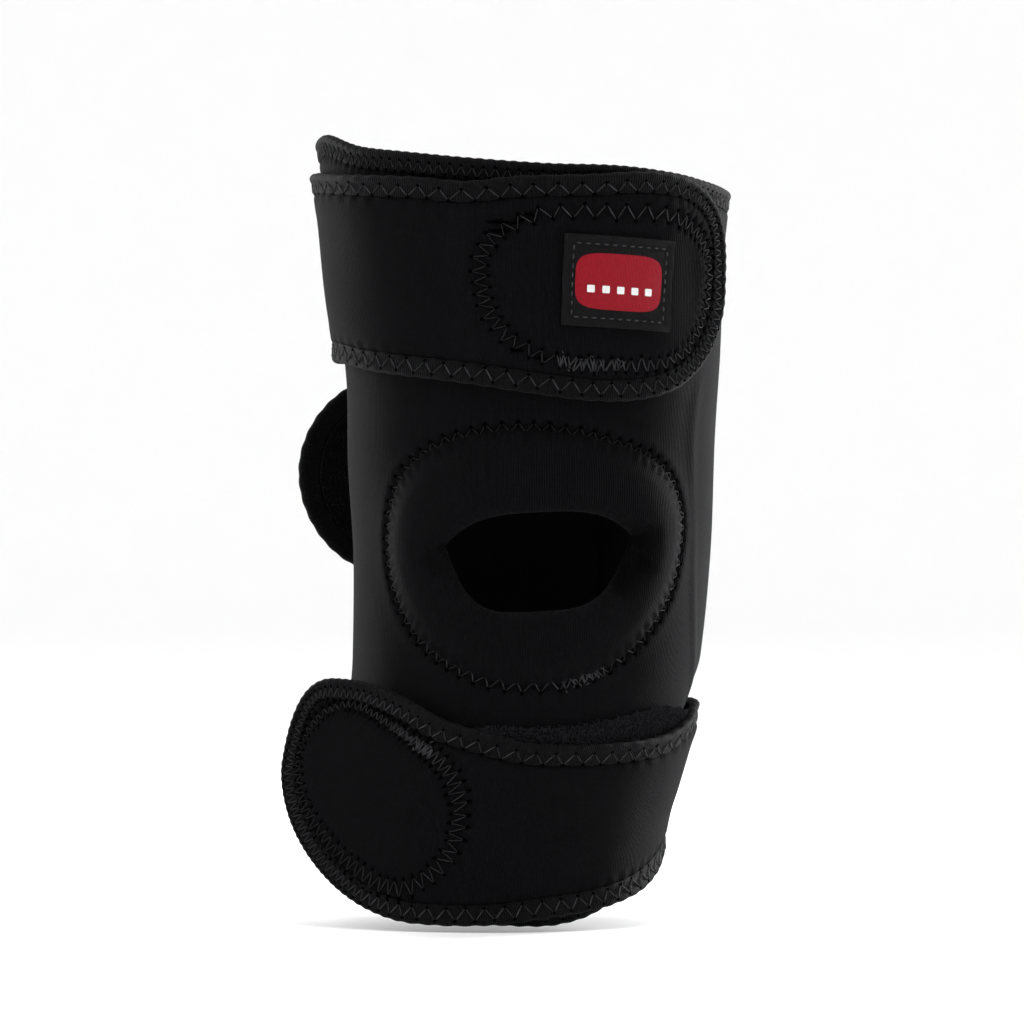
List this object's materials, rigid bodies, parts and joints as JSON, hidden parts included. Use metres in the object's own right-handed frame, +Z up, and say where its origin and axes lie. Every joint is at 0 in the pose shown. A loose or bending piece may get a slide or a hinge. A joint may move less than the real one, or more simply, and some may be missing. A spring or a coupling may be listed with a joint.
{
  "type": "knee sleeve",
  "caption": "Wraparound knee sleeve of foam cloth with a padded patella opening, pull straps above and below the knee, bound edges and a hook-faced closing tab behind.",
  "frame": {"origin": "on the middle of the leg, level with the middle of the patella opening", "axes": "+Z up the leg, -Y to the front of the knee, +X to the right as the front is seen"},
  "size_m": [0.1522, 0.1521, 0.2642],
  "materials": {
    "knit": "matt black knit face over foam, with fine ribs up the leg",
    "tape": "black folded binding tape with a fine cross rib, sewn with zigzag thread",
    "hook": "dense black hooks on a woven ground",
    "loop": "deep black loop pile",
    "label": "black woven label with a stitched border and a plain red block"
  },
  "bodies": {
    "root": {"sleeve_body": "knit", "sleeve_top_binding": "tape", "sleeve_bottom_binding": "tape", "patella_pad": "knit", "upper_strap": "knit", "upper_strap_binding": "tape", "upper_hook_patch": "hook", "label": "label", "loop_patch": "loop", "lower_strap": "knit", "lower_strap_binding": "tape", "lower_hook_patch": "hook", "back_tab": "knit", "back_tab_binding": "tape", "back_tab_hook": "hook"}
  },
  "joints": []
}
